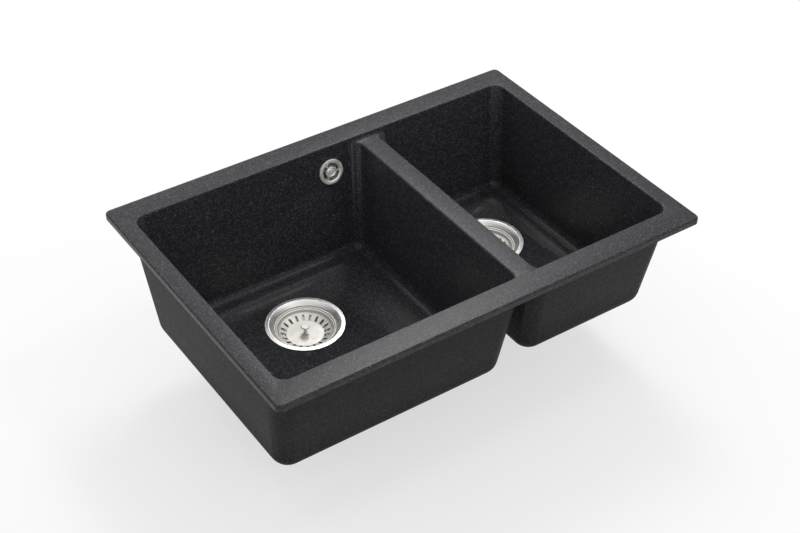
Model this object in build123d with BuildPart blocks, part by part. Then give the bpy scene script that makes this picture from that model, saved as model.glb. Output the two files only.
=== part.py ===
from build123d import *
from math import atan2, cos, degrees, radians, sin, tan
import os

# Double bowl kitchen sink for a worktop cut-out. Millimetres, +Z up.
# X runs along the sink from the main bowl to the half bowl, Y from the front to the back.
# The origin is the middle of the rim's underside, which is the worktop's surface.

# ---- Driving dimensions -------------------------------------------------------------------

# Rim
sink_length = 650.0
sink_width = 450.0
rim_thickness = 10.0
rim_corner_r = 8.0
rim_top_edge_r = 2.5
rim_low_edge_r = 1.0

# Opening in the rim, which both bowls share
opening_length = 601.0
opening_width = 377.0
opening_edge_r = 2.0
opening_corner_r = 16.0

# Divider between the bowls
divider_middle_x = 67.0
divider_width = 31.0
divider_recess = 7.0
divider_wall = 13.0
divider_web = 10.0
divider_cove_r = 4.0
divider_edge_r = 3.0
saddle_overrun = 32.0
shoulder_ledge = 3.6
shoulder_inset = 0.05

# Bowls
main_depth = 170.5
half_depth = 161.0
side_draft = 5.0
end_draft = 9.7
wall = 9.5
floor_thickness = 9.5
floor_fillet_r = 15.0

# Clearances: round a shaft or in a fit, and between faces that don't press on each other
turning_gap = 0.05
fit_gap = 0.05
seat_gap = 0.3

# Wastes, the same kit in both bowls
waste_hole_gap = 0.4
waste_hole_bevel = 2.2
waste_hole_bevel_angle = 45.0
waste_y = 55.0
main_waste_x = -123.0
half_waste_x = 187.0
flange_r = 55.6
flange_sheet = 1.0
flange_crown = 0.8
flange_crown_width = 5.6
flange_slope_width = 3.0
flange_slope_drop = 2.4
flange_step_width = 3.4
flange_step_drop = 3.5
flange_recess_gap = 1.4
flange_seal_thickness = 1.5
flange_seal_width = 7.5
dish_wall_depth = 12.0
seat_outer_r = 31.0
sump_r = 24.0
sump_drop = 13.4
sheet_bend_r = 1.6
drain_hole_r = 5.0
drain_hole_pitch_r = 15.5
drain_hole_count = 6

# Strainer basket and its post
basket_sheet = 0.8
basket_rim_gap = 0.6
basket_rim_drop = 0.7
basket_rim_width = 1.2
basket_lip_width = 1.0
basket_lip_drop = 1.8
basket_ledge_width = 1.4
basket_ledge_drop = 0.4
basket_wall_width = 1.8
basket_wall_drop = 4.0
basket_shoulder_width = 2.2
basket_shoulder_drop = 1.4
basket_flank_width = 9.4
basket_flank_drop = 4.6
basket_bend_r = 1.2
slot_count = 20
slot_width = 3.8
slot_margin = 0.5
slot_turn = 10.5
knob_r = 6.25
knob_thickness = 2.4
knob_drop = 5.0
knob_edge_r = 0.8
stem_r = 3.0
stem_waist_r = 2.3
collar_r = 5.0
collar_height = 1.2
plug_seal_r = 29.0
plug_seal_thickness = 3.2
plug_seal_lip = 1.0
post_nut_r = 6.0
hexagon_sides = 6
post_nut_flange_r = 9.5
post_nut_flange = 1.0
post_nut_height = 3.6
post_tail_r = 2.0
post_end_r = 2.6
post_end_height = 0.8
clip_r = 3.4
clip_wall = 0.9
clip_slit = 0.8

# Clamp screw and its insert
clamp_screw_r = 3.0
clamp_head_r = 8.0
clamp_head_height = 9.0
clamp_socket_depth = 8.2
clamp_screw_length = 17.2
clamp_slot_width = 2.5
clamp_slot_depth = 2.0
clip_clearance = 0.3
insert_r = 5.0
insert_height = 12.0

# Plastic waste bodies
body_seal_thickness = 3.0
body_seal_gap = 1.5
body_flange_width = 6.0
body_flange_thickness = 4.0
body_wall = 3.0
body_cup_gap = 1.4
body_cup_depth = 44.0
outlet_r = 23.9
outlet_bore_r = 20.0
outlet_top_depth = 58.0
outlet_length = 28.0
outlet_chamfer = 1.2
boss_r = 8.0
boss_height = 17.2
boss_web = 3.0
boss_web_turn = 45.0
boss_web_count = 2

# Overflow in the main bowl's back wall
overflow_x = 2.0
overflow_depth = 38.4
overflow_hole_r = 16.0
rose_r = 19.0
rose_thickness = 2.6
rose_ring_width = 3.6
rose_dish = 1.2
rose_hub_r = 6.6
rose_spigot_depth = 5.0
rose_spigot_gap = 0.6
rose_sheet = 1.2
rose_hub_sink = 0.6
rose_slot_inner_r = 8.4
rose_slot_outer_r = 13.4
rose_slot_arc = 84.0
rose_slot_count = 3
rose_slot_turn = 180.0
rose_edge_r = 0.8
rose_seal_thickness = 0.8
rose_screw_r = 2.5
rose_screw_head_r = 4.2
rose_screw_head = 1.6
rose_screw_length = 28.0
rose_screw_key_r = 1.6
rose_screw_key_depth = 1.0
rose_screw_edge_r = 0.5
housing_seal_thickness = 2.5
housing_seal_r = 23.5
housing_flange_r = 25.0
housing_flange = 3.0
housing_r = 20.0
housing_wall = 2.5
housing_reach = 22.0
housing_boss_r = 5.5
housing_boss_length = 12.0
spout_reach = 15.0
spout_top = 12.0
spout_length = 34.0

# Rigid overflow pipe and its compression joints
pipe_r = 10.0
pipe_wall = 1.5
pipe_drop_below_floor = 30.0
socket_r = 13.0
socket_depth = 16.0
socket_shoulder = 3.0
bend_r = 24.0
inlet_reach = 15.0
pipe_seal_thickness = 2.5
pipe_nut_r = 16.0
pipe_nut_grip = 12.0
pipe_nut_lip = 2.5
pipe_nut_sides = 8

# ---- Values that follow -------------------------------------------------------------------

rim_top = rim_thickness
side_slope = tan(radians(side_draft))
end_slope = tan(radians(end_draft))
half_opening = opening_length / 2
half_width = opening_width / 2
divider_top = rim_top - divider_recess
main_right = divider_middle_x - divider_width / 2 + divider_recess * side_slope
half_left = divider_middle_x + divider_width / 2 - divider_recess * side_slope

main_floor = Plane((main_waste_x, waste_y, rim_top - main_depth))
half_floor = Plane((half_waste_x, waste_y, rim_top - half_depth))
flange_recess = flange_slope_drop + flange_sheet + flange_seal_thickness
flange_slope_r = flange_r - flange_crown_width - flange_slope_width
dish_r = flange_slope_r - flange_step_width
waste_hole_r = dish_r + flange_sheet + waste_hole_gap
body_cup_r = dish_r + flange_sheet + body_cup_gap + body_wall
body_flange_r = body_cup_r + body_flange_width
inlet_mouth_r = body_flange_r + inlet_reach

overflow_face = Plane(
    origin=(overflow_x, half_width - overflow_depth * end_slope, rim_top - overflow_depth),
    x_dir=(1, 0, 0),
    z_dir=(0, -cos(radians(end_draft)), sin(radians(end_draft))),
)
wall_through = wall * cos(radians(end_draft))
spout_point = overflow_face.from_local_coords((0, 0, -wall_through - spout_reach))

# The pipe drops behind the bowl, bends, and runs under it to the waste body's inlet.
pipe_level = main_floor.origin.Z - pipe_drop_below_floor
pipe_corner = Vector(spout_point.X, spout_point.Y, pipe_level)
waste_centre = Vector(main_waste_x, waste_y, pipe_level)
to_waste = (waste_centre - pipe_corner).normalized()
to_spout = to_waste * -1
housing_mouth = Plane(
    origin=(spout_point.X, spout_point.Y, spout_point.Z - spout_top - spout_length),
    x_dir=(1, 0, 0),
    z_dir=(0, 0, -1),
)
bend_arm = bend_r + socket_shoulder + socket_depth
bend_top_mouth = Plane(pipe_corner + Vector(0, 0, bend_arm), x_dir=(1, 0, 0), z_dir=(0, 0, 1))
bend_side_mouth = Plane(pipe_corner + to_waste * bend_arm, x_dir=(0, 0, 1), z_dir=to_waste)
inlet_mouth = Plane(waste_centre + to_spout * inlet_mouth_r, x_dir=(0, 0, 1), z_dir=to_spout)
pipe_mouths = (housing_mouth, bend_top_mouth, bend_side_mouth, inlet_mouth)

os.makedirs("parts", exist_ok=True)


def save(part: Part, name: str):
    """Label a finished piece and write it to its own file."""
    part.label = name
    export_step(part, f"parts/{name}.step")


def side_plane(at: Plane) -> Plane:
    """The plane in which a turned piece's outline is drawn: radius across, height up."""
    return Plane(at.origin, x_dir=at.x_dir, z_dir=at.y_dir * -1)


def turn_axis(at: Plane) -> Axis:
    """The axis of a turned piece that stands on a plane."""
    return Axis(at.origin, at.z_dir)


# ---- The sink ------------------------------------------------------------------------------


def bowl_solid(
    left: float, right: float, reach: float, depth: float, corner_r: float, bottom_r: float
) -> Part:
    """A drafted bowl shape, solid. Its edges are given at the rim's top, where it starts."""
    floor_z = rim_top - depth
    side_in = depth * side_slope
    end_in = depth * end_slope
    with BuildPart() as bowl:
        with BuildSketch(Plane.XZ):
            with BuildLine():
                Polyline(
                    (left, rim_top),
                    (left + side_in, floor_z),
                    (right - side_in, floor_z),
                    (right, rim_top),
                    close=True,
                )
            make_face()
        extrude(amount=reach, both=True)
        with BuildSketch(Plane.YZ):
            with BuildLine():
                Polyline(
                    (-reach, rim_top),
                    (-reach + end_in, floor_z),
                    (reach - end_in, floor_z),
                    (reach, rim_top),
                    close=True,
                )
            make_face()
        extrude(amount=sink_length, both=True, mode=Mode.INTERSECT)
        fillet(bowl.edges().group_by(Axis.Z)[1], corner_r)
        if bottom_r > 0:
            fillet(bowl.faces().sort_by(Axis.Z)[0].edges(), bottom_r)
    return bowl.part


def divider_shoulder(left: float, right: float) -> Part:
    """What rounds the divider's edge over along one bowl, out to the bowl's corners."""
    core = bowl_solid(
        left + shoulder_inset,
        right - shoulder_inset,
        half_width - shoulder_inset,
        divider_recess + divider_edge_r + shoulder_inset,
        opening_corner_r,
        0,
    )
    inside = divider_recess * side_slope - shoulder_ledge
    with BuildPart() as shoulder:
        add(core)
        with BuildSketch(Plane.XY.offset(divider_top)):
            with Locations(((left + right) / 2, 0)):
                RectangleRounded(
                    right - left - 2 * inside,
                    2 * (half_width + shoulder_ledge),
                    opening_corner_r + shoulder_ledge,
                )
        extrude(amount=divider_recess)
        ledge = shoulder.faces().filter_by(lambda face: len(face.inner_wires()) == 1)[0]
        fillet(ledge.inner_wires()[0].edges(), divider_edge_r)
        add(divider_walls, mode=Mode.INTERSECT)
    return shoulder.part


outer_reach = half_width + wall
outer_corner_r = opening_corner_r + wall
outer_fillet_r = floor_fillet_r + floor_thickness
main_outside = bowl_solid(
    -half_opening - wall,
    main_right + divider_wall,
    outer_reach,
    main_depth + floor_thickness,
    outer_corner_r,
    outer_fillet_r,
)
half_outside = bowl_solid(
    half_left - divider_wall,
    half_opening + wall,
    outer_reach,
    half_depth + floor_thickness,
    outer_corner_r,
    outer_fillet_r,
)
main_hollow = bowl_solid(
    -half_opening, main_right, half_width, main_depth, opening_corner_r, floor_fillet_r
)
half_hollow = bowl_solid(
    half_left, half_opening, half_width, half_depth, opening_corner_r, floor_fillet_r
)

# The divider lies below the rim. Its ends rise in a small cove to the front and back walls.
saddle_length = divider_width + 2 * saddle_overrun
saddle_reach = half_width - divider_recess * end_slope
with BuildPart() as divider_saddle:
    with BuildSketch(Plane.YZ.offset(divider_middle_x - saddle_length / 2)) as saddle_end:
        with BuildLine():
            Polyline(
                (-half_width, rim_top),
                (-saddle_reach, divider_top),
                (saddle_reach, divider_top),
                (half_width, rim_top),
                close=True,
            )
        make_face()
        fillet(saddle_end.vertices().group_by(Axis.Y)[0], divider_cove_r)
    extrude(amount=saddle_length)

# The front and back walls, which bound the rounded shoulders of the divider.
walls_depth = divider_recess + 2 * divider_edge_r
walls_reach = half_width - walls_depth * end_slope
with BuildPart() as divider_walls_block:
    with BuildSketch(Plane.YZ.offset(divider_middle_x - saddle_length / 2)):
        with BuildLine():
            Polyline(
                (-half_width, rim_top),
                (-walls_reach, rim_top - walls_depth),
                (walls_reach, rim_top - walls_depth),
                (half_width, rim_top),
                close=True,
            )
        make_face()
    extrude(amount=saddle_length)
divider_walls = divider_walls_block.part
main_shoulder = divider_shoulder(-half_opening, main_right)
half_shoulder = divider_shoulder(half_left, half_opening)

with BuildPart() as sink_basin:
    with BuildSketch(Plane.XY):
        RectangleRounded(sink_length, sink_width, rim_corner_r)
    extrude(amount=rim_thickness)
    fillet(sink_basin.faces().sort_by(Axis.Z)[-1].edges(), rim_top_edge_r)
    fillet(sink_basin.faces().sort_by(Axis.Z)[0].edges(), rim_low_edge_r)
    add(main_outside)
    add(half_outside)
    with BuildSketch(Plane.XY.offset(divider_top - divider_web)):
        with Locations((divider_middle_x, 0)):
            Rectangle(divider_width, 2 * (half_width - divider_web * end_slope))
    extrude(amount=divider_web)
    add(main_hollow, mode=Mode.SUBTRACT)
    add(half_hollow, mode=Mode.SUBTRACT)
    add(divider_saddle.part, mode=Mode.SUBTRACT)
    add(main_shoulder, mode=Mode.SUBTRACT)
    add(half_shoulder, mode=Mode.SUBTRACT)
    top_face = sink_basin.faces().sort_by(Axis.Z)[-1]
    fillet(top_face.inner_wires()[0].edges(), opening_edge_r)
    for floor in (main_floor, half_floor):
        with BuildSketch(floor):
            Circle(flange_r + flange_recess_gap)
        extrude(amount=-flange_recess, mode=Mode.SUBTRACT)
        with BuildSketch(floor):
            Circle(waste_hole_r)
        extrude(amount=-floor_thickness * 2, mode=Mode.SUBTRACT)
        with BuildSketch(floor.offset(-flange_recess)):
            Circle(waste_hole_r + waste_hole_bevel)
        extrude(amount=-waste_hole_bevel, taper=waste_hole_bevel_angle, mode=Mode.SUBTRACT)
    with BuildSketch(overflow_face):
        Circle(overflow_hole_r)
    extrude(amount=wall * 2, both=True, mode=Mode.SUBTRACT)
save(sink_basin.part, "sink_basin")

# ---- Wastes --------------------------------------------------------------------------------

# Radii round each waste, and heights from the bowl's floor, which is level with the flange's top.
body_top = -floor_thickness - body_seal_thickness
dish_top = -flange_slope_drop - flange_step_drop
basket_rim_r = dish_r - basket_rim_gap
basket_ledge_r = basket_rim_r - basket_rim_width - basket_lip_width
basket_ledge_end_r = basket_ledge_r - basket_ledge_width
basket_wall_r = basket_ledge_end_r - basket_wall_width
basket_flank_r = basket_wall_r - basket_shoulder_width
basket_disc_r = basket_flank_r - basket_flank_width
basket_rim_top = dish_top - basket_rim_drop
ledge_outer = basket_rim_top - basket_lip_drop
ledge_inner = ledge_outer - basket_ledge_drop
shoulder_top = ledge_inner - basket_wall_drop
flank_top = shoulder_top - basket_shoulder_drop
disc_top = flank_top - basket_flank_drop
disc_under = disc_top - basket_sheet
plug_seal_top = disc_under - seat_gap
plug_seal_under = plug_seal_top - plug_seal_thickness
seat_top = plug_seal_under - seat_gap
sump_floor = seat_top - sump_drop
boss_top = sump_floor - flange_sheet - seat_gap
outlet_top = -outlet_top_depth
outlet_end = outlet_top - outlet_length
knob_under = -knob_drop - knob_thickness
collar_under = disc_top + seat_gap
post_nut_under = plug_seal_under - post_nut_height
head_top = sump_floor + clamp_head_height
post_end = head_top - clamp_socket_depth + seat_gap
tail_top = post_nut_under - seat_gap
clip_top = head_top - seat_gap
clip_under = post_end + post_end_height + seat_gap
web_angle = degrees(atan2(to_spout.Y, to_spout.X)) + boss_web_turn
cone_turn = atan2(body_cup_r - outlet_r, outlet_top_depth - body_cup_depth)
cone_rise = body_wall * tan(cone_turn / 2)

for bowl_name, floor in (("main", main_floor), ("half", half_floor)):
    upright = side_plane(floor)
    turning = turn_axis(floor)

    # Pressed steel flange: a crowned ring, a slope, a step, the dish, the plug's seat and the sump.
    with BuildPart() as waste_flange:
        with BuildSketch(upright):
            with BuildLine():
                flange_line = FilletPolyline(
                    (flange_r, -flange_crown),
                    (flange_r - flange_crown_width, 0),
                    (flange_slope_r, -flange_slope_drop),
                    (dish_r, dish_top),
                    (dish_r, -dish_wall_depth),
                    (seat_outer_r, seat_top),
                    (sump_r, seat_top),
                    (sump_r, sump_floor),
                    (clamp_screw_r + seat_gap, sump_floor),
                    radius=sheet_bend_r,
                )
                offset(flange_line, amount=flange_sheet, side=Side.LEFT)
            make_face()
        revolve(axis=turning)
        with BuildSketch(floor.offset(sump_floor)):
            with PolarLocations(drain_hole_pitch_r, drain_hole_count):
                Circle(drain_hole_r)
        extrude(amount=-flange_sheet, mode=Mode.SUBTRACT)
    save(waste_flange.part, f"{bowl_name}_waste_flange")

    with BuildPart() as flange_seal:
        with BuildSketch(floor.offset(-flange_recess)):
            Circle(flange_r)
            Circle(flange_r - flange_seal_width, mode=Mode.SUBTRACT)
        extrude(amount=flange_seal_thickness)
    save(flange_seal.part, f"{bowl_name}_flange_seal")

    with BuildPart() as underside_seal:
        with BuildSketch(floor.offset(body_top)):
            Circle(body_flange_r)
            Circle(waste_hole_r + body_seal_gap, mode=Mode.SUBTRACT)
        extrude(amount=body_seal_thickness)
    save(underside_seal.part, f"{bowl_name}_underside_seal")

    # The way the water takes through the waste body, round the boss and its crossed webs.
    with BuildPart() as waste_passage:
        with BuildSketch(upright):
            with BuildLine():
                Polyline(
                    (0, body_top),
                    (body_cup_r - body_wall, body_top),
                    (body_cup_r - body_wall, cone_rise - body_cup_depth),
                    (outlet_bore_r, cone_rise + outlet_top),
                    (outlet_bore_r, outlet_end),
                    (0, outlet_end),
                    close=True,
                )
            make_face()
        revolve(axis=turning)
        with BuildSketch(floor.offset(boss_top)):
            Circle(boss_r)
            with PolarLocations(0, boss_web_count, start_angle=web_angle, angular_range=180):
                Rectangle(2 * body_cup_r, boss_web)
        extrude(amount=-boss_height, mode=Mode.SUBTRACT)

    # Plastic waste body: a flanged cup, a cone and the outlet. The main one has an inlet.
    with BuildPart() as waste_body:
        with BuildSketch(upright):
            with BuildLine():
                Polyline(
                    (0, body_top),
                    (body_flange_r, body_top),
                    (body_flange_r, body_top - body_flange_thickness),
                    (body_cup_r, body_top - body_flange_thickness),
                    (body_cup_r, -body_cup_depth),
                    (outlet_r, outlet_top),
                    (outlet_r, outlet_end + outlet_chamfer),
                    (outlet_r - outlet_chamfer, outlet_end),
                    (0, outlet_end),
                    close=True,
                )
            make_face()
        revolve(axis=turning)
        if bowl_name == "main":
            with BuildSketch(inlet_mouth):
                Circle(socket_r)
            extrude(amount=-(inlet_mouth_r - body_cup_r + body_wall))
        add(waste_passage.part, mode=Mode.SUBTRACT)
        if bowl_name == "main":
            with BuildSketch(inlet_mouth):
                Circle(pipe_r - pipe_wall)
            extrude(amount=-(inlet_mouth_r - body_cup_r + 2 * body_wall), mode=Mode.SUBTRACT)
            with BuildSketch(inlet_mouth):
                Circle(pipe_r + fit_gap)
            extrude(amount=-socket_depth, mode=Mode.SUBTRACT)
        with BuildSketch(floor.offset(boss_top)):
            Circle(insert_r + fit_gap)
        extrude(amount=-insert_height, mode=Mode.SUBTRACT)
        with BuildSketch(floor.offset(boss_top)):
            Circle(clamp_screw_r + fit_gap)
        extrude(amount=-boss_height, mode=Mode.SUBTRACT)
    save(waste_body.part, f"{bowl_name}_waste_body")

    # Pressed strainer basket, free to turn on its post.
    with BuildPart() as basket:
        with BuildSketch(upright):
            with BuildLine():
                basket_line = FilletPolyline(
                    (basket_rim_r, basket_rim_top),
                    (basket_rim_r - basket_rim_width, basket_rim_top),
                    (basket_ledge_r, ledge_outer),
                    (basket_ledge_end_r, ledge_inner),
                    (basket_wall_r, shoulder_top),
                    (basket_flank_r, flank_top),
                    (basket_disc_r, disc_top),
                    (stem_r + turning_gap, disc_top),
                    radius=basket_bend_r,
                )
                offset(basket_line, amount=basket_sheet, side=Side.LEFT)
            make_face()
        revolve(axis=turning)
        slot_in = basket_disc_r + slot_margin + slot_width / 2
        slot_out = basket_flank_r - slot_margin - slot_width / 2
        with BuildSketch(floor):
            with PolarLocations((slot_in + slot_out) / 2, slot_count, start_angle=slot_turn):
                SlotCenterToCenter(slot_out - slot_in, slot_width)
        extrude(amount=disc_under - basket_sheet, mode=Mode.SUBTRACT)
    save(basket.part, f"{bowl_name}_basket")

    # Turned post: knob, waist, collar over the basket, stem, tail and end button.
    with BuildPart() as basket_post:
        with BuildSketch(upright):
            with BuildLine():
                Polyline(
                    (0, -knob_drop),
                    (knob_r, -knob_drop),
                    (knob_r, knob_under),
                    (stem_waist_r, knob_under),
                    (stem_waist_r, collar_under + collar_height),
                    (collar_r, collar_under + collar_height),
                    (collar_r, collar_under),
                    (stem_r, collar_under),
                    (stem_r, tail_top),
                    (post_tail_r, tail_top),
                    (post_tail_r, post_end + post_end_height),
                    (post_end_r, post_end + post_end_height),
                    (post_end_r, post_end),
                    (0, post_end),
                    close=True,
                )
            make_face()
        revolve(axis=turning)
        knob_edges = basket_post.edges().filter_by(GeomType.CIRCLE).sort_by(SortBy.RADIUS)[-2:]
        fillet(knob_edges, knob_edge_r)
    save(basket_post.part, f"{bowl_name}_basket_post")

    with BuildPart() as plug_seal:
        with BuildSketch(upright):
            with BuildLine():
                Polyline(
                    (stem_r + fit_gap, plug_seal_top),
                    (plug_seal_r - plug_seal_lip, plug_seal_top),
                    (plug_seal_r, plug_seal_top - plug_seal_lip),
                    (plug_seal_r, plug_seal_under),
                    (stem_r + fit_gap, plug_seal_under),
                    close=True,
                )
            make_face()
        revolve(axis=turning)
    save(plug_seal.part, f"{bowl_name}_plug_seal")

    with BuildPart() as post_nut:
        with BuildSketch(floor.offset(plug_seal_under)):
            Circle(post_nut_flange_r)
        extrude(amount=-post_nut_flange)
        with BuildSketch(floor.offset(plug_seal_under)):
            RegularPolygon(post_nut_r, hexagon_sides)
        extrude(amount=-post_nut_height)
        with BuildSketch(floor.offset(plug_seal_under)):
            Circle(stem_r + fit_gap)
        extrude(amount=-post_nut_height, mode=Mode.SUBTRACT)
    save(post_nut.part, f"{bowl_name}_post_nut")

    # Split steel collar that grips the clamp screw's socket.
    with BuildPart() as spring_clip:
        with BuildSketch(upright):
            with BuildLine():
                Polyline(
                    (post_tail_r + fit_gap, clip_top),
                    (post_tail_r + clip_wall, clip_top),
                    (clip_r, (clip_top + clip_under) / 2),
                    (post_tail_r + clip_wall, clip_under),
                    (post_tail_r + fit_gap, clip_under),
                    close=True,
                )
            make_face()
        revolve(axis=turning)
        with BuildSketch(floor.offset(clip_top)):
            Rectangle(clip_r * 2, clip_slit, align=(Align.MIN, Align.CENTER))
        extrude(amount=clip_under - clip_top, mode=Mode.SUBTRACT)
    save(spring_clip.part, f"{bowl_name}_spring_clip")

# Clamp screws: a round head with a slot and a socket for the basket post, and a shank.
with BuildPart() as clamp_screws:
    for floor in (main_floor, half_floor):
        with BuildSketch(floor.offset(sump_floor)):
            Circle(clamp_head_r)
        extrude(amount=clamp_head_height)
        with BuildSketch(floor.offset(sump_floor)):
            Circle(clamp_screw_r)
        extrude(amount=-clamp_screw_length)
        with BuildSketch(floor.offset(head_top)):
            Circle(clip_r + clip_clearance)
        extrude(amount=-clamp_socket_depth, mode=Mode.SUBTRACT)
        with BuildSketch(floor.offset(head_top)):
            Rectangle(2 * clamp_head_r, clamp_slot_width)
        extrude(amount=-clamp_slot_depth, mode=Mode.SUBTRACT)
save(clamp_screws.part, "waste_clamp_screws")

with BuildPart() as thread_inserts:
    for floor in (main_floor, half_floor):
        with BuildSketch(floor.offset(boss_top)):
            Circle(insert_r)
            Circle(clamp_screw_r + fit_gap, mode=Mode.SUBTRACT)
        extrude(amount=-insert_height)
save(thread_inserts.part, "waste_thread_inserts")

# ---- Overflow ------------------------------------------------------------------------------

# Heights from the wall's inner face, towards the bowl.
rose_base = rose_seal_thickness
rose_top = rose_base + rose_thickness
rose_face = rose_top - rose_dish
rose_spigot_r = overflow_hole_r - rose_spigot_gap
rose_ring_r = rose_r - rose_ring_width
hub_seat = rose_face - rose_hub_sink
wall_outside = -wall_through
housing_front = wall_outside - housing_seal_thickness
housing_back = wall_outside - housing_reach
overflow_upright = side_plane(overflow_face)
overflow_axis = turn_axis(overflow_face)

# Pressed steel rose: raised ring, dished face with kidney slots, and a hub for the screw.
kidney_r = (rose_slot_inner_r + rose_slot_outer_r) / 2
with BuildLine():
    kidney_line = CenterArc((0, 0), kidney_r, -rose_slot_arc / 2, rose_slot_arc)
with BuildPart() as overflow_rose:
    with BuildSketch(overflow_upright):
        with BuildLine():
            Polyline(
                (rose_screw_r + fit_gap, hub_seat),
                (rose_screw_head_r + seat_gap, hub_seat),
                (rose_hub_r, rose_face + rose_hub_sink),
                (rose_hub_r + rose_hub_sink, rose_face),
                (rose_ring_r - rose_dish, rose_face),
                (rose_ring_r, rose_top),
                (rose_r, rose_top),
                (rose_r, rose_base),
                (rose_spigot_r, rose_base),
                (rose_spigot_r, -rose_spigot_depth),
                (rose_spigot_r - rose_sheet, -rose_spigot_depth),
                (rose_spigot_r - rose_sheet, rose_face - rose_sheet),
                (rose_hub_r, rose_face - rose_sheet),
                (rose_hub_r, hub_seat - rose_sheet),
                (rose_screw_r + fit_gap, hub_seat - rose_sheet),
                close=True,
            )
        make_face()
    revolve(axis=overflow_axis)
    rose_rim = overflow_rose.edges().filter_by(GeomType.CIRCLE).group_by(SortBy.RADIUS)[-1]
    fillet(rose_rim.sort_by(Axis(overflow_face.origin, overflow_face.z_dir))[-1], rose_edge_r)
    with BuildSketch(overflow_face):
        with PolarLocations(0, rose_slot_count, start_angle=rose_slot_turn):
            SlotArc(kidney_line, rose_slot_outer_r - rose_slot_inner_r)
    extrude(amount=rose_top, mode=Mode.SUBTRACT)
save(overflow_rose.part, "overflow_rose")

with BuildPart() as rose_seal:
    with BuildSketch(overflow_face):
        Circle(rose_r - rose_edge_r)
        Circle(overflow_hole_r + rose_edge_r, mode=Mode.SUBTRACT)
    extrude(amount=rose_seal_thickness)
save(rose_seal.part, "overflow_rose_seal")

with BuildPart() as rose_screw:
    with BuildSketch(overflow_face.offset(hub_seat)):
        Circle(rose_screw_head_r)
    extrude(amount=rose_screw_head)
    fillet(rose_screw.edges().group_by(overflow_axis)[-1], rose_screw_edge_r)
    with BuildSketch(overflow_face.offset(hub_seat)):
        Circle(rose_screw_r)
    extrude(amount=-rose_screw_length)
    with BuildSketch(overflow_face.offset(hub_seat + rose_screw_head)):
        RegularPolygon(rose_screw_key_r, hexagon_sides)
    extrude(amount=-rose_screw_key_depth, mode=Mode.SUBTRACT)
save(rose_screw.part, "overflow_screw")

with BuildPart() as housing_seal:
    with BuildSketch(overflow_face.offset(housing_front)):
        Circle(housing_seal_r)
        Circle(housing_r - housing_wall, mode=Mode.SUBTRACT)
    extrude(amount=housing_seal_thickness)
save(housing_seal.part, "overflow_housing_seal")

# Plastic housing behind the wall: a flanged chamber with the screw's boss and a spout.
with BuildPart() as overflow_housing:
    with BuildSketch(overflow_face.offset(housing_front)):
        Circle(housing_flange_r)
    extrude(amount=-housing_flange)
    with BuildSketch(overflow_face.offset(housing_front)):
        Circle(housing_r)
    extrude(amount=housing_back - housing_front)
    with BuildSketch(housing_mouth):
        Circle(socket_r)
    extrude(amount=-spout_length)
    with BuildSketch(overflow_face.offset(housing_front)):
        Circle(housing_r - housing_wall)
    extrude(amount=housing_back + housing_wall - housing_front, mode=Mode.SUBTRACT)
    with BuildSketch(housing_mouth):
        Circle(pipe_r - pipe_wall)
    extrude(amount=housing_wall - spout_length, mode=Mode.SUBTRACT)
    with BuildSketch(housing_mouth):
        Circle(pipe_r + fit_gap)
    extrude(amount=-socket_depth, mode=Mode.SUBTRACT)
    with BuildSketch(overflow_face.offset(housing_back)):
        Circle(housing_boss_r)
    extrude(amount=housing_wall + housing_boss_length)
    with BuildSketch(overflow_face.offset(housing_back + housing_wall)):
        Circle(rose_screw_r + fit_gap)
    extrude(amount=housing_boss_length, mode=Mode.SUBTRACT)
save(overflow_housing.part, "overflow_housing")


def pipe_between(start: Plane, end: Plane) -> Part:
    """A straight tube that stands in the sockets of two facing mouths."""
    reach = (end.origin - start.origin).length + 2 * (socket_depth - seat_gap)
    with BuildPart() as pipe:
        with BuildSketch(start.offset(seat_gap - socket_depth)):
            Circle(pipe_r)
            Circle(pipe_r - pipe_wall, mode=Mode.SUBTRACT)
        extrude(amount=reach)
    return pipe.part


save(pipe_between(housing_mouth, bend_top_mouth), "overflow_drop_pipe")
save(pipe_between(bend_side_mouth, inlet_mouth), "overflow_cross_pipe")

# Bend: a quarter turn with a socket at each end.
with BuildPart() as overflow_bend:
    with BuildLine():
        bend_line = FilletPolyline(
            bend_top_mouth.origin,
            pipe_corner,
            bend_side_mouth.origin,
            radius=bend_r,
        )
    with BuildSketch(bend_top_mouth):
        Circle(socket_r)
    sweep(path=bend_line)
    with BuildSketch(bend_top_mouth):
        Circle(pipe_r - pipe_wall)
    sweep(path=bend_line, mode=Mode.SUBTRACT)
    for mouth in (bend_top_mouth, bend_side_mouth):
        with BuildSketch(mouth):
            Circle(pipe_r + fit_gap)
        extrude(amount=-socket_depth, mode=Mode.SUBTRACT)
save(overflow_bend.part, "overflow_bend")

with BuildPart() as pipe_seals:
    for mouth in pipe_mouths:
        with BuildSketch(mouth):
            Circle(socket_r)
            Circle(pipe_r + fit_gap, mode=Mode.SUBTRACT)
        extrude(amount=pipe_seal_thickness)
save(pipe_seals.part, "overflow_pipe_seals")

with BuildPart() as pipe_nuts:
    for mouth in pipe_mouths:
        with BuildSketch(mouth.offset(-pipe_nut_grip)):
            RegularPolygon(pipe_nut_r, pipe_nut_sides)
            Circle(socket_r + fit_gap, mode=Mode.SUBTRACT)
        extrude(amount=pipe_nut_grip + pipe_seal_thickness)
        with BuildSketch(mouth.offset(pipe_seal_thickness)):
            RegularPolygon(pipe_nut_r, pipe_nut_sides)
            Circle(pipe_r + seat_gap, mode=Mode.SUBTRACT)
        extrude(amount=pipe_nut_lip)
save(pipe_nuts.part, "overflow_pipe_nuts")
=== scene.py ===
import math

import bpy
from mathutils import Matrix, Vector


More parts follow.
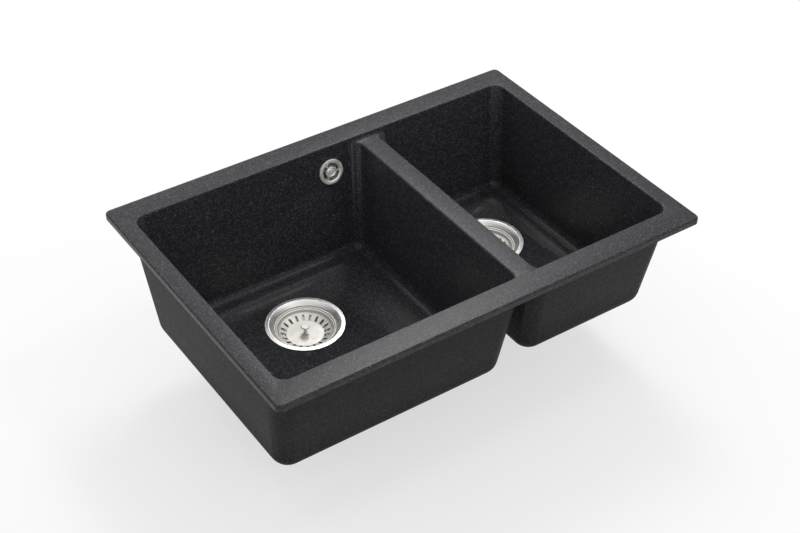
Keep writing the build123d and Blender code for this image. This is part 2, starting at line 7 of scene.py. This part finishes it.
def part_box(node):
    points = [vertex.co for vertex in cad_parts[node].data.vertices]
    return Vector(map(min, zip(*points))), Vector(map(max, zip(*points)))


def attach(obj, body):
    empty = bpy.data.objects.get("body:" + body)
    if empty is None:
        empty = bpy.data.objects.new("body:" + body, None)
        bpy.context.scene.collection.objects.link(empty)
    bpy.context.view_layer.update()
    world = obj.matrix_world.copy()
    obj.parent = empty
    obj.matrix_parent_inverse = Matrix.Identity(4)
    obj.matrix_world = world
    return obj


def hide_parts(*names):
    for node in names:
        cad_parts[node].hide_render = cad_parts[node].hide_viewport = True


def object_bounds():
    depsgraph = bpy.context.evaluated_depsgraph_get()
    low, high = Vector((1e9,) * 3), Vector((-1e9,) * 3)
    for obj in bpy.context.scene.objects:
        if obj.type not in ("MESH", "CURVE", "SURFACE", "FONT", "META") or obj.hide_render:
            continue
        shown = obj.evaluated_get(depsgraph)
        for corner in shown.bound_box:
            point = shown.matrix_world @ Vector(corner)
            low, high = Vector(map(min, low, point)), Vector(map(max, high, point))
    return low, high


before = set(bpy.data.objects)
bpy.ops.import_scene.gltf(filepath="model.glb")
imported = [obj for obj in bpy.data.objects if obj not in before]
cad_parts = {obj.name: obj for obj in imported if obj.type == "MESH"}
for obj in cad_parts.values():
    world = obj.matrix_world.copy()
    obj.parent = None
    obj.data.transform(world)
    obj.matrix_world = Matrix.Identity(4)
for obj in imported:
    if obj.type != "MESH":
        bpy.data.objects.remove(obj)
cad_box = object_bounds()
MM = 0.001

# ---- Camera and studio -----------------------------------------------------------------------
# The camera stands in front of the sink's left corner and looks down on it. The frame is a
# photograph of 800 by 533 pixels, and the focal length was solved from the sink's own edges.

photo_width_px = 800
film_width_mm = 36.0
focal_px = 1541.17
camera_turn = math.radians(-34.5351)
camera_height = math.radians(38.8951)
camera_roll = math.radians(0.43)
camera_distance = 1.9539
camera_target = Vector((-0.0641, -0.0894, 0.010))

away = Vector((
    math.sin(camera_turn) * math.cos(camera_height),
    -math.cos(camera_turn) * math.cos(camera_height),
    math.sin(camera_height),
))
level_right = Vector((math.cos(camera_turn), math.sin(camera_turn), 0))
level_up = away.cross(level_right)
right = level_right * math.cos(camera_roll) + level_up * math.sin(camera_roll)
up = level_up * math.cos(camera_roll) - level_right * math.sin(camera_roll)
camera_data = bpy.data.cameras.new("photo_camera")
camera_data.sensor_width = film_width_mm
camera_data.lens = focal_px / photo_width_px * camera_data.sensor_width
camera = bpy.data.objects.new("photo_camera", camera_data)
bpy.context.scene.collection.objects.link(camera)
place = camera_target + away * camera_distance
camera.matrix_world = Matrix((
    (right.x, up.x, away.x, place.x),
    (right.y, up.y, away.y, place.y),
    (right.z, up.z, away.z, place.z),
    (0, 0, 0, 1),
))
bpy.context.scene.camera = camera
bpy.context.scene.view_settings.view_transform = "Standard"


def linear(code):
    """An sRGB hex colour as linear RGBA."""
    shares = [int(code[at:at + 2], 16) / 255 for at in (1, 3, 5)]
    bent = [s / 12.92 if s <= 0.04045 else ((s + 0.055) / 1.055) ** 2.4 for s in shares]
    return (*bent, 1.0)


def add(tree, kind, inputs=(), **settings):
    """A shader node with its settings, its input values and its links."""
    made = tree.nodes.new(kind)
    for name, value in settings.items():
        setattr(made, name, value)
    for name, value in dict(inputs).items():
        if isinstance(value, bpy.types.NodeSocket):
            tree.links.new(value, made.inputs[name])
        else:
            made.inputs[name].default_value = value
    return made


def ray_seen(tree):
    """1 for what the eye sees, straight or in a mirror, and 0 for what only lights."""
    rays = add(tree, "ShaderNodeLightPath")
    seen = add(tree, "ShaderNodeMath", {
        0: rays.outputs["Is Camera Ray"], 1: rays.outputs["Is Glossy Ray"],
    }, operation="MAXIMUM")
    return add(tree, "ShaderNodeMath", {
        0: seen.outputs[0], 1: rays.outputs["Is Transmission Ray"],
    }, operation="MAXIMUM").outputs[0]


# What stands behind the sink is plain white to the eye and in the steel.
world = bpy.data.worlds.new("studio")
bpy.context.scene.world = world
world.use_nodes = True
world.node_tree.nodes.clear()
room_light = 0.6
level = add(world.node_tree, "ShaderNodeMapRange", {
    "Value": ray_seen(world.node_tree), "To Min": room_light, "To Max": 1.0,
})
sky = add(world.node_tree, "ShaderNodeBackground", {
    "Color": linear("#ffffff"), "Strength": level.outputs[0],
})
add(world.node_tree, "ShaderNodeOutputWorld", {"Surface": sky.outputs[0]})

# The floor lies under the lowest outlet. It is white paper that keeps a soft shadow.
floor_size = 14.0
floor_glow = 0.6
bpy.ops.mesh.primitive_plane_add(size=floor_size, location=(0, 0, cad_box[0][2]))
floor = bpy.context.object
floor.name = "studio_floor"
floor.data.transform(floor.matrix_world)
floor.matrix_world = Matrix.Identity(4)
paper = bpy.data.materials.new("white_paper")
paper.use_nodes = True
paper.node_tree.nodes.clear()
matt = add(paper.node_tree, "ShaderNodeBsdfDiffuse", {"Color": linear("#f8f8f8")})
glow = add(paper.node_tree, "ShaderNodeEmission", {"Color": linear("#ffffff"), "Strength": 1.0})
share = add(paper.node_tree, "ShaderNodeMath", {
    0: ray_seen(paper.node_tree), 1: floor_glow,
}, operation="MULTIPLY")
mixed = add(paper.node_tree, "ShaderNodeMixShader", {
    0: share.outputs[0], 1: matt.outputs[0], 2: glow.outputs[0],
})
add(paper.node_tree, "ShaderNodeOutputMaterial", {"Surface": mixed.outputs[0]})
floor.data.materials.append(paper)

lamp_distance = 2.0
lamp_aim = Vector((0, 0, -0.05))


def softbox(name, direction, size, power):
    """A square lamp two metres off that faces the middle of the sink."""
    data = bpy.data.lights.new(name, "AREA")
    data.size = size
    data.energy = power
    lamp = bpy.data.objects.new(name, data)
    lamp.location = Vector(direction).normalized() * lamp_distance
    lamp.rotation_euler = (lamp_aim - lamp.location).to_track_quat("-Z", "Y").to_euler()
    bpy.context.scene.collection.objects.link(lamp)


softbox("high_softbox", (0.35, 0.45, 0.82), 0.6, 11)
softbox("key_softbox", (0.42, 0.59, 0.69), 0.5, 4.5)
softbox("right_softbox", (0.54, 0.50, 0.67), 0.5, 1.2)
softbox("low_back_softbox", (0.10, 0.80, 0.59), 0.8, 2.2)
softbox("left_softbox", (-0.85, 0.0, 0.5), 1.0, 1.6)
softbox("front_softbox", (0.0, -0.85, 0.5), 1.0, 5)
softbox("front_edge_lamp", (0.44, -0.20, 0.87), 0.3, 4)
softbox("left_edge_lamp", (-0.30, 0.64, 0.70), 0.3, 2.5)

# ---- Sink basin ------------------------------------------------------------------------------
# One casting of granite composite: quartz grains bound in black tinted acrylic resin. It comes
# satin matt out of its mould, with a fine speckle of paler grains and a fine tooth.


def material(name, colour, metallic=0.0, roughness=0.5, specular=0.5):
    """A new material with its even values set, its node tree and its shader."""
    made = bpy.data.materials.new(name)
    made.use_nodes = True
    shader = made.node_tree.nodes["Principled BSDF"]
    shader.inputs["Base Color"].default_value = linear(colour)
    shader.inputs["Metallic"].default_value = metallic
    shader.inputs["Roughness"].default_value = roughness
    shader.inputs["Specular IOR Level"].default_value = specular
    return made, made.node_tree, shader


grain_size = 1.3 * MM
fleck_size = 2.0 * MM
tooth_size = 2.0 * MM
mid_grains_from = 0.7
pale_grains_from = 0.92
fleck_chance = (0.93, 0.99)
fleck_edge = (0.25, 0.45)
gloss_spread = (0.9, 1.15)


def granite_finish(name, shades, fleck, roughness, specular, tooth_height):
    """Granite composite of three shades of grain and rare pale flecks.

    The real grains are 0.1 to 0.6 mm across, and the tooth is as fine. They are drawn at 1.3 to
    2.0 mm, so that some show at arm's length.
    """
    made, tree, shader = material(name, shades[1], specular=specular)
    where = add(tree, "ShaderNodeTexCoord").outputs["Object"]
    grains = add(tree, "ShaderNodeTexVoronoi", {"Vector": where, "Scale": 1 / grain_size})
    tone = add(tree, "ShaderNodeSeparateColor", {"Color": grains.outputs["Color"]})
    body = add(tree, "ShaderNodeValToRGB", {"Fac": tone.outputs[0]})
    body.color_ramp.elements[0].color = linear(shades[0])
    body.color_ramp.elements[1].position = pale_grains_from
    body.color_ramp.elements[1].color = linear(shades[2])
    body.color_ramp.elements.new(mid_grains_from).color = linear(shades[1])
    flecks = add(tree, "ShaderNodeTexVoronoi", {"Vector": where, "Scale": 1 / fleck_size})
    chance = add(tree, "ShaderNodeSeparateColor", {"Color": flecks.outputs["Color"]})
    rare = add(tree, "ShaderNodeMapRange", {
        "Value": chance.outputs[1], "From Min": fleck_chance[0], "From Max": fleck_chance[1],
    })
    near = add(tree, "ShaderNodeMapRange", {
        "Value": flecks.outputs["Distance"], "From Min": fleck_edge[0], "From Max": fleck_edge[1],
        "To Min": 1.0, "To Max": 0.0,
    })
    shown = add(tree, "ShaderNodeMath", {
        0: rare.outputs[0], 1: near.outputs[0],
    }, operation="MULTIPLY")
    stone = add(tree, "ShaderNodeMix", {
        0: shown.outputs[0], 6: body.outputs[0], 7: linear(fleck),
    }, data_type="RGBA")
    tree.links.new(stone.outputs[2], shader.inputs["Base Color"])
    tooth = add(tree, "ShaderNodeTexNoise", {
        "Vector": where, "Scale": 1 / tooth_size, "Detail": 2.0,
    })
    bump = add(tree, "ShaderNodeBump", {"Height": tooth.outputs[0], "Distance": tooth_height})
    tree.links.new(bump.outputs[0], shader.inputs["Normal"])
    worn = add(tree, "ShaderNodeMapRange", {
        "Value": tone.outputs[1],
        "To Min": roughness * gloss_spread[0], "To Max": roughness * gloss_spread[1],
    })
    tree.links.new(worn.outputs[0], shader.inputs["Roughness"])
    return made


join_distance = 0.001 * MM
smooth_angle = math.radians(32)
facing_down = -0.02


def work_on(piece):
    """Selects one piece alone and makes it the one that operators act on."""
    bpy.ops.object.select_all(action="DESELECT")
    piece.select_set(True)
    bpy.context.view_layer.objects.active = piece


def merged_copy(node, name):
    """A copy of a CAD node with its loose triangles joined."""
    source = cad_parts[node]
    copy = bpy.data.objects.new(name, source.data.copy())
    bpy.context.scene.collection.objects.link(copy)
    work_on(copy)
    bpy.ops.object.mode_set(mode="EDIT")
    bpy.ops.mesh.select_all(action="SELECT")
    bpy.ops.mesh.remove_doubles(threshold=join_distance)
    bpy.ops.object.mode_set(mode="OBJECT")
    return copy


def finish_piece(piece, body, slot, *nodes):
    """Smooths a finished piece, ties it to its body and hides its CAD nodes. Its slot is not used.
    """
    work_on(piece)
    bpy.ops.object.shade_smooth_by_angle(angle=smooth_angle)
    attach(piece, body)
    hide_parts(*nodes)


# The bowls and the rim are drafted so that they face up, and the back of the casting faces down.
# Faces that point down take a duller copy of the granite whose darker shades are painted shade.
basin = merged_copy("sink_basin", "sink_basin_two_sided")
basin.data.materials.clear()
basin.data.materials.append(granite_finish(
    "granite_composite_face", ("#232325", "#2d2d30", "#47474b"), "#6d6e73", 0.30, 0.15, 0.09 * MM,
))
# The copy for downward faces: rougher, less shiny, and darkened there as painted shade.
basin.data.materials.append(granite_finish(
    "granite_composite_back_painted_shade", ("#161617", "#1d1d1f", "#303033"), "#4c4d50", 0.50, 0.05, 0.05 * MM,
))
for face in basin.data.polygons:
    face.material_index = int(face.normal.z < facing_down)
finish_piece(basin, "sink", "granite_composite", "sink_basin")

# ---- Waste flanges ---------------------------------------------------------------------------
# Stainless sheet, deep drawn and brushed on a wheel while it turns, so its faint marks are rings
# round its own axis and its gloss is soft. One lies in the recess of each bowl's floor.

bowls = ("main", "half")
smear_size = 9 * MM
mark_range = (0.6, 1.4)
turned_spread = (0.8, 1.25)


def turned_finish(
    name, colour, roughness, middle, lean=0.0, ring_pitch=0.6 * MM, ring_height=0.002 * MM,
):
    """Brushed metal with rings round an axis that leans back from upright by an angle about X.

    The real rings are 0.05 to 0.1 mm apart. They are drawn at 0.4 to 0.9 mm, so that they show.
    """
    made, tree, shader = material(name, colour, metallic=1.0)
    where = add(tree, "ShaderNodeTexCoord").outputs["Object"]
    centred = add(tree, "ShaderNodeMapping", {
        "Vector": where, "Location": middle, "Rotation": (lean, 0, 0),
    }, vector_type="TEXTURE")
    across = add(tree, "ShaderNodeVectorMath", {
        0: centred.outputs[0], 1: (1, 1, 0),
    }, operation="MULTIPLY")
    radius = add(tree, "ShaderNodeVectorMath", {0: across.outputs[0]}, operation="LENGTH")
    rings = add(tree, "ShaderNodeTexNoise", {
        "W": radius.outputs["Value"], "Scale": 1 / ring_pitch, "Detail": 3.0,
    }, noise_dimensions="1D")
    smears = add(tree, "ShaderNodeTexNoise", {
        "Vector": where, "Scale": 1 / smear_size, "Detail": 3.0,
    })
    both = add(tree, "ShaderNodeMath", {
        0: rings.outputs[0], 1: smears.outputs[0],
    }, operation="ADD")
    gloss = add(tree, "ShaderNodeMapRange", {
        "Value": both.outputs[0], "From Min": mark_range[0], "From Max": mark_range[1],
        "To Min": roughness * turned_spread[0], "To Max": roughness * turned_spread[1],
    })
    tree.links.new(gloss.outputs[0], shader.inputs["Roughness"])
    bump = add(tree, "ShaderNodeBump", {"Height": rings.outputs[0], "Distance": ring_height})
    tree.links.new(bump.outputs[0], shader.inputs["Normal"])
    return made


def middle_of(node):
    """The middle of a CAD node's box."""
    low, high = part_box(node)
    return (Vector(low) + Vector(high)) / 2


def dress(finish, *nodes):
    """Puts a finish on CAD nodes."""
    for node in nodes:
        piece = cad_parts[node]
        piece.data.materials.clear()
        piece.data.materials.append(finish)


for bowl in bowls:
    flange_steel = turned_finish(
        f"{bowl}_stainless_steel_brushed", "#dedddc", 0.42, middle_of(f"{bowl}_waste_flange"),
    )
    dress(flange_steel, f"{bowl}_waste_flange")

# ---- Seals -----------------------------------------------------------------------------------
# Flat and lipped rings of moulded nitrile rubber, dull black with a fine bloom. They lie under
# each flange, over each waste body, on each basket, and at the overflow's joints.

bloom_size = 3.0 * MM
pore_size = 0.5 * MM
pore_depth = 0.01 * MM
rubber, tree, shader = material("nitrile_rubber_moulded", "#1b1b1c", roughness=0.62, specular=0.4)
where = add(tree, "ShaderNodeTexCoord").outputs["Object"]
bloom = add(tree, "ShaderNodeTexNoise", {"Vector": where, "Scale": 1 / bloom_size, "Detail": 4.0})
chalk = add(tree, "ShaderNodeValToRGB", {"Fac": bloom.outputs[0]})
chalk.color_ramp.elements[0].color = linear("#161617")
chalk.color_ramp.elements[1].color = linear("#262628")
tree.links.new(chalk.outputs[0], shader.inputs["Base Color"])
pores = add(tree, "ShaderNodeTexNoise", {"Vector": where, "Scale": 1 / pore_size})
bump = add(tree, "ShaderNodeBump", {"Height": pores.outputs[0], "Distance": pore_depth})
tree.links.new(bump.outputs[0], shader.inputs["Normal"])
dress(
    rubber, "main_flange_seal", "half_flange_seal", "main_underside_seal", "half_underside_seal",
    "main_plug_seal", "half_plug_seal", "overflow_rose_seal", "overflow_housing_seal",
    "overflow_pipe_seals",
)

# ---- Waste bodies ----------------------------------------------------------------------------
# Injection moulded white polypropylene: a flanged cup under each bowl that narrows to its outlet.
# The outlet carries a real G 1 1/2 pipe thread for the trap's nut, cut here into the plain one.

flow_size = 22.0 * MM
spark_size = 0.7 * MM
spark_depth = 0.012 * MM
plastic_gloss = (0.33, 0.45)
polypropylene, tree, shader = material(
    "polypropylene_white_moulded", "#e6e5e0", roughness=0.38, specular=0.45,
)
where = add(tree, "ShaderNodeTexCoord").outputs["Object"]
flow = add(tree, "ShaderNodeTexNoise", {
    "Vector": where, "Scale": 1 / flow_size, "Detail": 2.0, "Distortion": 0.6,
})
milk = add(tree, "ShaderNodeValToRGB", {"Fac": flow.outputs[0]})
milk.color_ramp.elements[0].color = linear("#dfded8")
milk.color_ramp.elements[1].color = linear("#ebeae6")
tree.links.new(milk.outputs[0], shader.inputs["Base Color"])
spark = add(tree, "ShaderNodeTexNoise", {"Vector": where, "Scale": 1 / spark_size, "Detail": 1.0})
bump = add(tree, "ShaderNodeBump", {"Height": spark.outputs[0], "Distance": spark_depth})
tree.links.new(bump.outputs[0], shader.inputs["Normal"])
gloss = add(tree, "ShaderNodeMapRange", {
    "Value": flow.outputs[0], "To Min": plastic_gloss[0], "To Max": plastic_gloss[1],
})
tree.links.new(gloss.outputs[0], shader.inputs["Roughness"])

outlet_r = 23.9 * MM
thread_pitch = 2.309 * MM
thread_depth = 1.479 * MM
thread_overcut = 0.12 * MM
thread_turns = 10
thread_steps = 64
half_groove = (thread_pitch - thread_overcut) / 2
mouth_r = outlet_r + thread_overcut / 2

for bowl in bowls:
    body_piece = merged_copy(f"{bowl}_waste_body", f"{bowl}_waste_body_threaded")
    outlet_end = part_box(f"{bowl}_waste_body")[0][2]
    axis = middle_of(f"{bowl}_waste_flange")
    # A triangle that points at the axis, wound up from below the outlet's end, is the groove.
    bpy.ops.object.select_all(action="DESELECT")
    bpy.ops.mesh.primitive_circle_add(
        vertices=3, radius=half_groove, location=(0, 0, 0), fill_type="NOTHING",
    )
    groove = bpy.context.object
    corners = ((mouth_r, half_groove), (outlet_r - thread_depth, 0), (mouth_r, -half_groove))
    for vertex, (out, rise) in zip(groove.data.vertices, corners):
        vertex.co = (out, 0, rise)
    screw = groove.modifiers.new("thread", "SCREW")
    screw.angle = math.tau
    screw.screw_offset = thread_pitch
    screw.iterations = thread_turns
    screw.steps = screw.render_steps = thread_steps
    screw.use_merge_vertices = False
    work_on(groove)
    bpy.ops.object.modifier_apply(modifier="thread")
    bpy.ops.object.mode_set(mode="EDIT")
    bpy.ops.mesh.select_all(action="SELECT")
    bpy.ops.mesh.remove_doubles(threshold=join_distance)
    bpy.ops.mesh.fill_holes(sides=3)
    bpy.ops.mesh.normals_make_consistent(inside=False)
    bpy.ops.object.mode_set(mode="OBJECT")
    groove.data.transform(Matrix.Translation((axis.x, axis.y, outlet_end - thread_pitch)))
    cut = body_piece.modifiers.new("thread", "BOOLEAN")
    cut.operation = "DIFFERENCE"
    cut.object = groove
    cut.solver = "EXACT"
    work_on(body_piece)
    bpy.ops.object.modifier_apply(modifier="thread")
    bpy.data.objects.remove(groove)
    body_piece.data.materials.clear()
    body_piece.data.materials.append(polypropylene)
    finish_piece(body_piece, "sink", "white_plastic", f"{bowl}_waste_body")

# ---- Clamp screws and thread inserts ---------------------------------------------------------
# One turned stainless screw draws each flange down on its waste body, and keeps the fine rings of
# the lathe. It bites a brass insert that is moulded into the body's boss.

turning_pitch = 0.5 * MM
turning_depth = 0.006 * MM
tarnish_size = 4 * MM
screw_steel, tree, shader = material(
    "stainless_steel_turned", "#cfcdc9", metallic=1.0, roughness=0.3,
)
where = add(tree, "ShaderNodeTexCoord").outputs["Object"]
height = add(tree, "ShaderNodeSeparateXYZ", {"Vector": where})
feed = add(tree, "ShaderNodeTexNoise", {
    "W": height.outputs["Z"], "Scale": 1 / turning_pitch, "Detail": 2.0,
}, noise_dimensions="1D")
bump = add(tree, "ShaderNodeBump", {"Height": feed.outputs[0], "Distance": turning_depth})
tree.links.new(bump.outputs[0], shader.inputs["Normal"])
dress(
    screw_steel, "waste_clamp_screws", "main_post_nut", "half_post_nut", "main_spring_clip",
    "half_spring_clip",
)

brass, tree, shader = material("brass_turned", "#d3ae62", metallic=1.0, roughness=0.28)
where = add(tree, "ShaderNodeTexCoord").outputs["Object"]
tarnish = add(tree, "ShaderNodeTexNoise", {
    "Vector": where, "Scale": 1 / tarnish_size, "Detail": 4.0,
})
dulled = add(tree, "ShaderNodeValToRGB", {"Fac": tarnish.outputs[0]})
dulled.color_ramp.elements[0].color = linear("#b8924c")
dulled.color_ramp.elements[1].color = linear("#dcb86c")
tree.links.new(dulled.outputs[0], shader.inputs["Base Color"])
dress(brass, "waste_thread_inserts")

# ---- Strainer baskets ------------------------------------------------------------------------
# Pressed from thin stainless sheet with a ring of punched slots. It is left satin by the press, so
# it glows more evenly than the brushed flange round it.

for bowl in bowls:
    basket_steel = turned_finish(
        f"{bowl}_stainless_steel_pressed", "#d6d3ce", 0.58, middle_of(f"{bowl}_basket"),
        ring_pitch=0.9 * MM, ring_height=0.003 * MM,
    )
    dress(basket_steel, f"{bowl}_basket")

# ---- Basket posts ----------------------------------------------------------------------------
# The strainer's knob and stem, turned from stainless bar and left satin. It carries the basket,
# the plug seal, a nut and a split spring clip that grips the clamp screw's head.

for bowl in bowls:
    post_steel = turned_finish(
        f"{bowl}_stainless_steel_turned_satin", "#c6c5c3", 0.52, middle_of(f"{bowl}_basket_post"),
        ring_pitch=0.4 * MM, ring_height=0.002 * MM,
    )
    dress(post_steel, f"{bowl}_basket_post")

# ---- Overflow rose ---------------------------------------------------------------------------
# A pressed stainless plate with a raised ring, three kidney slots and a sunk hub, left satin so
# that it shows pale against the wall. Its one screw goes through that wall into the housing.

wall_draft = 9.7
rose_steel = turned_finish(
    "overflow_stainless_steel_satin", "#e6e5e3", 0.60, middle_of("overflow_rose"),
    lean=math.radians(90 - wall_draft),
)
dress(rose_steel, "overflow_rose", "overflow_screw")

# ---- Overflow housing and pipe ---------------------------------------------------------------
# White polypropylene mouldings: the chamber behind the rose, two straight lengths of 20 mm pipe
# and a swept bend that lead its water into the main bowl's waste body.

dress(
    polypropylene, "overflow_housing", "overflow_drop_pipe", "overflow_cross_pipe",
    "overflow_bend",
)

# ---- Compression nuts ------------------------------------------------------------------------
# Grey polypropylene nuts with eight flats squeeze a rubber ring at each end of the pipes. Their
# grey is mixed through, and their flats keep the spark-eroded grain of the mould.

grip_size = 0.6 * MM
grip_depth = 0.03 * MM
grey_plastic, tree, shader = material(
    "polypropylene_grey_moulded", "#85888a", roughness=0.42, specular=0.45,
)
where = add(tree, "ShaderNodeTexCoord").outputs["Object"]
grip = add(tree, "ShaderNodeTexNoise", {"Vector": where, "Scale": 1 / grip_size, "Detail": 2.0})
pigment = add(tree, "ShaderNodeTexNoise", {"Vector": where, "Scale": 1 / flow_size, "Detail": 2.0})
mixed_grey = add(tree, "ShaderNodeValToRGB", {"Fac": pigment.outputs[0]})
mixed_grey.color_ramp.elements[0].color = linear("#7b7e80")
mixed_grey.color_ramp.elements[1].color = linear("#8d9092")
tree.links.new(mixed_grey.outputs[0], shader.inputs["Base Color"])
bump = add(tree, "ShaderNodeBump", {"Height": grip.outputs[0], "Distance": grip_depth})
tree.links.new(bump.outputs[0], shader.inputs["Normal"])
dress(grey_plastic, "overflow_pipe_nuts")
